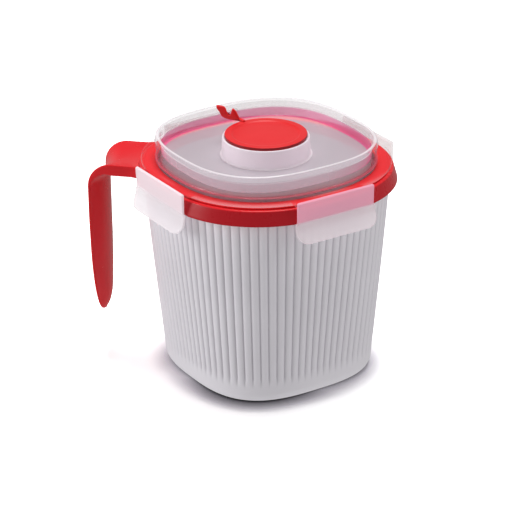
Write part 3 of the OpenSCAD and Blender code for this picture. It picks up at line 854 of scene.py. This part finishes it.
def cap_part():
    top = CAP_Z + CAP_T
    floor = top - DISH
    low = PANEL_Z - PANEL_T - TURRET_SINK
    skirt_low = CAP_Z - CAP_SKIRT_H
    # Up the stem, round the skirt, out to the edge
    profile = [
        (STEAM_R - 0.3, low + 0.4), (STEAM_R - 0.3, CAP_Z - 4.5),
        (STEAM_R + BOSS_WALL, CAP_Z - 3.4), (STEAM_R + BOSS_WALL, CAP_Z), (SKIRT_R - 1.4, CAP_Z),
        (SKIRT_R - 1.4, skirt_low + 0.3), (SKIRT_R - 1.1, skirt_low), (SKIRT_R - 0.3, skirt_low),
        (SKIRT_R, skirt_low + 0.3), (SKIRT_R, CAP_Z), (CAP_R - 0.1, CAP_Z + 0.4), (CAP_R, CAP_Z + 0.6),
    ]
    # Over the edge, into the dish, and down the axis
    profile += arc((CAP_R - 0.4, top - 0.4), 0.4, 0, 90, 5)
    profile += arc((CAP_R - 2.9, top - 0.9), 0.9, 90, 130, 4)
    profile += [(CAP_R - 4.2, floor + 0.08), (CAP_R - 5.0, floor), (CAP_R - 9.0, floor + 0.06)]
    profile += [(3.0, floor + 0.14), (0.001, floor + 0.15), (0.001, low), (STEAM_R - 0.7, low)]
    return revolve(profile, 160)


def inset(outline, by):
    """An outline that runs anticlockwise, drawn in on all sides."""
    out = []
    count = len(outline)
    for i, (x, y) in enumerate(outline):
        last, following = outline[i - 1], outline[(i + 1) % count]
        tx, ty = following[0] - last[0], following[1] - last[1]
        length = math.hypot(tx, ty) or 1
        out.append((x - ty / length * by, y + tx / length * by))
    return out


def rounded_plate(outline, low, high, r):
    """An outline of (x, y) as a plate whose edges are rounded over."""
    turns = [math.radians(d) for d in (90, 60, 30, 0)]
    levels = [(a, low + r * (1 - math.sin(a))) for a in turns]
    levels += [(a, high - r * (1 - math.sin(a))) for a in reversed(turns)]
    rows = [[(x, y, z) for x, y in inset(outline, r * (1 - math.cos(a)))] for a, z in levels]
    return loft(rows, False, True, True)


# Outline of the lift tab, as shares of its length and height
TAB_SHARES = [
    (0, 0), (0.04, 0.28), (0.16, 0.65), (0.31, 0.84), (0.37, 0.62), (0.38, 0.41), (0.48, 0.4),
    (0.55, 0.62), (0.59, 0.82), (0.7, 0.94), (1, 1), (0.98, 0.82), (0.85, 0.59), (0.82, 0.45),
    (0.72, 0.25), (0.5, 0.12), (0.11, 0),
]


def softened(outline, times):
    """The outline with its corners cut back again and again."""
    for _ in range(times):
        out = []
        for i, (x, y) in enumerate(outline):
            nx, ny = outline[(i + 1) % len(outline)]
            out += [(mix(x, nx, 0.22), mix(y, ny, 0.22)), (mix(x, nx, 0.78), mix(y, ny, 0.78))]
        outline = out
    return outline


def tab_part():
    """The lift tab, bowed away at its foot and its prongs, and the arm that carries it."""
    flat = softened([(u * TAB_LEN, v * TAB_H) for u, v in reversed(TAB_SHARES)], 2)
    points, faces = rounded_plate(flat, -TAB_T / 2, TAB_T / 2, 0.35)
    sweep = math.radians(TAB_SWEEP)
    placed = []
    for u, v, n in points:
        n += 0.05 * (v - TAB_H / 2) ** 2 - 0.3
        x = TURRET_R + u * math.cos(sweep) + n * math.sin(sweep)
        y = u * math.sin(sweep) - n * math.cos(sweep)
        placed.append((x, y, TAB_Z + v))
    root, end, half = CAP_R - CAP_T, TURRET_R + TAB_T, TAB_T / 2
    arm = rounded_plate([(root, -half), (end, -half), (end, half), (root, half)], TAB_Z, TAB_Z + TAB_T, 0.2)
    return turned(join([(placed, faces), arm]), TAB_TURN)


def build_vent():
    obj = make_mesh("vent_cap_dished", *join([cap_part(), tab_part()]))
    put(obj, vent_mat, "vent", "vent_cap")
    centre = (4.85, PANEL_Z + BOSS_H + 1.0)
    ring = make_mesh("vent_seal_ring", *revolve(arc(centre, 0.9, 0, 345, 23), 96))
    put(ring, seal_mat, "vent", "vent_seal")


build_vent()

# Stage, light and camera


def is_seen(tree, rays):
    """A socket that is 1 for the given kinds of ray and 0 for the rest."""
    path = tree.nodes.new("ShaderNodeLightPath")
    socket = path.outputs[rays[0]]
    for ray in rays[1:]:
        socket = operation(tree, "MAXIMUM", socket, path.outputs[ray])
    return socket


# Floor as the camera sees it, beside the mug and through clear plastic
FLOOR_SEEN, FLOOR_THROUGH = 1.8, 0.94
# Floor as it lights the mug, and in a reflection
FLOOR_LIGHT, FLOOR_GLOSS = 0.75, 0.35
# Painted shadow round the foot, darkening the floor's colour by occlusion: how far out it reaches in
# millimetres, and its tone
CONTACT_REACH, SHADE_TONE = 11.0, (1.0, 0.95, 1.06)
# How hard that painted shadow falls off, at the sides and in front, and the Y in millimetres of each. The
# light comes from behind, so it is painted deepest in front
FALL_SIDE, FALL_FRONT = 1.15, 3.6
SIDE_Y, FRONT_Y = -30.0, -58.0
FLOOR_HALF = 6.0
# Studio walls as a light, and as a reflection
WALLS_LIGHT, WALLS_GLOSS = 0.12, 0.4
# The lamp overhead: place in metres, strength, and width in degrees
TOP_PLACE, TOP_ENERGY, TOP_WIDTH = (0.02, 0.3, 1.6), 2.5, 28.0
# The soft lamps at the sides: name, place in metres, watts
SIDE_LAMPS = [("left", (-1.1, -0.5, 0.5), 7.8), ("right", (1.2, -0.15, 0.5), 3.6)]
SIDE_LAMP_SIZE = 0.8
LAMP_AIM = (0, 0, 0.06)


def build_stage():
    mesh = bpy.data.meshes.new("floor")
    corners = [(x * FLOOR_HALF, y * FLOOR_HALF, 0) for x, y in ((-1, -1), (1, -1), (1, 1), (-1, 1))]
    mesh.from_pydata(corners, [], [(0, 1, 2, 3)])
    floor = bpy.data.objects.new("floor", mesh)
    bpy.context.scene.collection.objects.link(floor)
    mat, tree, bsdf = material("floor_paper", (FLOOR_SEEN,) * 3, 0.9, **{"Specular IOR Level": 0.1})
    path = tree.nodes.new("ShaderNodeLightPath")
    seen = map_range(tree, path.outputs["Transparent Depth"], 0, 1, FLOOR_SEEN, FLOOR_THROUGH)
    # Painted shadow: the floor's colour darkened and toned near the mug by occlusion
    contact = tree.nodes.new("ShaderNodeAmbientOcclusion")
    contact.inputs["Distance"].default_value = CONTACT_REACH * MM
    place = object_axis(tree, "Object", "Y")
    fall = map_range(tree, place, SIDE_Y * MM, FRONT_Y * MM, FALL_SIDE, FALL_FRONT)
    dark = operation(tree, "POWER", contact.outputs["AO"], fall)
    tone = tree.nodes.new("ShaderNodeMix")
    tone.data_type = "RGBA"
    tone.inputs["A"].default_value = (*SHADE_TONE, 1)
    tone.inputs["B"].default_value = (1, 1, 1, 1)
    tree.links.new(dark, tone.inputs["Factor"])
    shaded = tree.nodes.new("ShaderNodeVectorMath")
    shaded.operation = "SCALE"
    tree.links.new(tone.outputs["Result"], shaded.inputs["Vector"])
    tree.links.new(operation(tree, "MULTIPLY", seen, dark), shaded.inputs["Scale"])
    tree.links.new(shaded.outputs["Vector"], bsdf.inputs["Base Color"])
    glow = tree.nodes.new("ShaderNodeEmission")
    strength = map_range(tree, path.outputs["Is Glossy Ray"], 0, 1, FLOOR_LIGHT, FLOOR_GLOSS)
    tree.links.new(strength, glow.inputs["Strength"])
    blend = tree.nodes.new("ShaderNodeMixShader")
    tree.links.new(is_seen(tree, ["Is Camera Ray", "Is Transmission Ray"]), blend.inputs["Fac"])
    tree.links.new(glow.outputs["Emission"], blend.inputs[1])
    tree.links.new(bsdf.outputs["BSDF"], blend.inputs[2])
    tree.links.new(blend.outputs["Shader"], tree.nodes["Material Output"].inputs["Surface"])
    floor.data.materials.append(mat)


def add_light(name, kind, place, energy):
    """A lamp at a place, turned towards the middle of the mug."""
    data = bpy.data.lights.new(name, kind)
    data.energy = energy
    light = bpy.data.objects.new(name, data)
    light.location = place
    light.rotation_mode = "QUATERNION"
    light.rotation_quaternion = (Vector(LAMP_AIM) - Vector(place)).to_track_quat("-Z", "Y")
    bpy.context.scene.collection.objects.link(light)
    return data


def build_light():
    world = bpy.data.worlds.new("studio")
    bpy.context.scene.world = world
    world.use_nodes = True
    tree = world.node_tree
    strength = None
    for rays, value in ((["Is Glossy Ray"], WALLS_GLOSS), (["Is Camera Ray", "Is Transmission Ray"], 1.0)):
        blend = tree.nodes.new("ShaderNodeMix")
        blend.inputs["A"].default_value = WALLS_LIGHT
        blend.inputs["B"].default_value = value
        tree.links.new(is_seen(tree, rays), blend.inputs["Factor"])
        if strength:
            tree.links.new(strength, blend.inputs["A"])
        strength = blend.outputs["Result"]
    tree.nodes["Background"].inputs["Color"].default_value = (1, 1, 1, 1)
    tree.links.new(strength, tree.nodes["Background"].inputs["Strength"])
    top = add_light("top", "SUN", TOP_PLACE, TOP_ENERGY)
    top.angle = math.radians(TOP_WIDTH)
    for name, place, power in SIDE_LAMPS:
        soft = add_light(name, "AREA", place, power)
        soft.shape = "DISK"
        soft.size = SIDE_LAMP_SIZE


# Camera fitted to the photograph: angles in degrees, lengths in millimetres
AZIMUTH, ELEVATION, ROLL = 12.4, 24.03, -0.55
DISTANCE, AIM_Z = 1222.9, 60.0
LENS_PX, FRAME_PX = 2518.0, 512.0
AIM_PX = (267.0, 245.75)
SENSOR = 36.0


def build_camera():
    data = bpy.data.cameras.new("camera")
    data.sensor_width = SENSOR
    data.lens = LENS_PX / FRAME_PX * SENSOR
    data.shift_x = (FRAME_PX / 2 - AIM_PX[0]) / FRAME_PX
    data.shift_y = (AIM_PX[1] - FRAME_PX / 2) / FRAME_PX
    data.clip_start, data.clip_end = 0.05, 50.0
    camera = bpy.data.objects.new("camera", data)
    a, e = math.radians(AZIMUTH), math.radians(ELEVATION)
    back = Vector((math.sin(a) * math.cos(e), -math.cos(a) * math.cos(e), math.sin(e)))
    camera.location = Vector((0, 0, AIM_Z * MM)) + back * DISTANCE * MM
    look = (-back).to_track_quat("-Z", "Y")
    roll = Matrix.Rotation(math.radians(ROLL), 3, "Z").to_quaternion()
    camera.rotation_mode = "QUATERNION"
    camera.rotation_quaternion = look @ roll
    bpy.context.scene.collection.objects.link(camera)
    bpy.context.scene.camera = camera


build_stage()
build_light()
build_camera()
bpy.context.scene.view_settings.view_transform = "Standard"
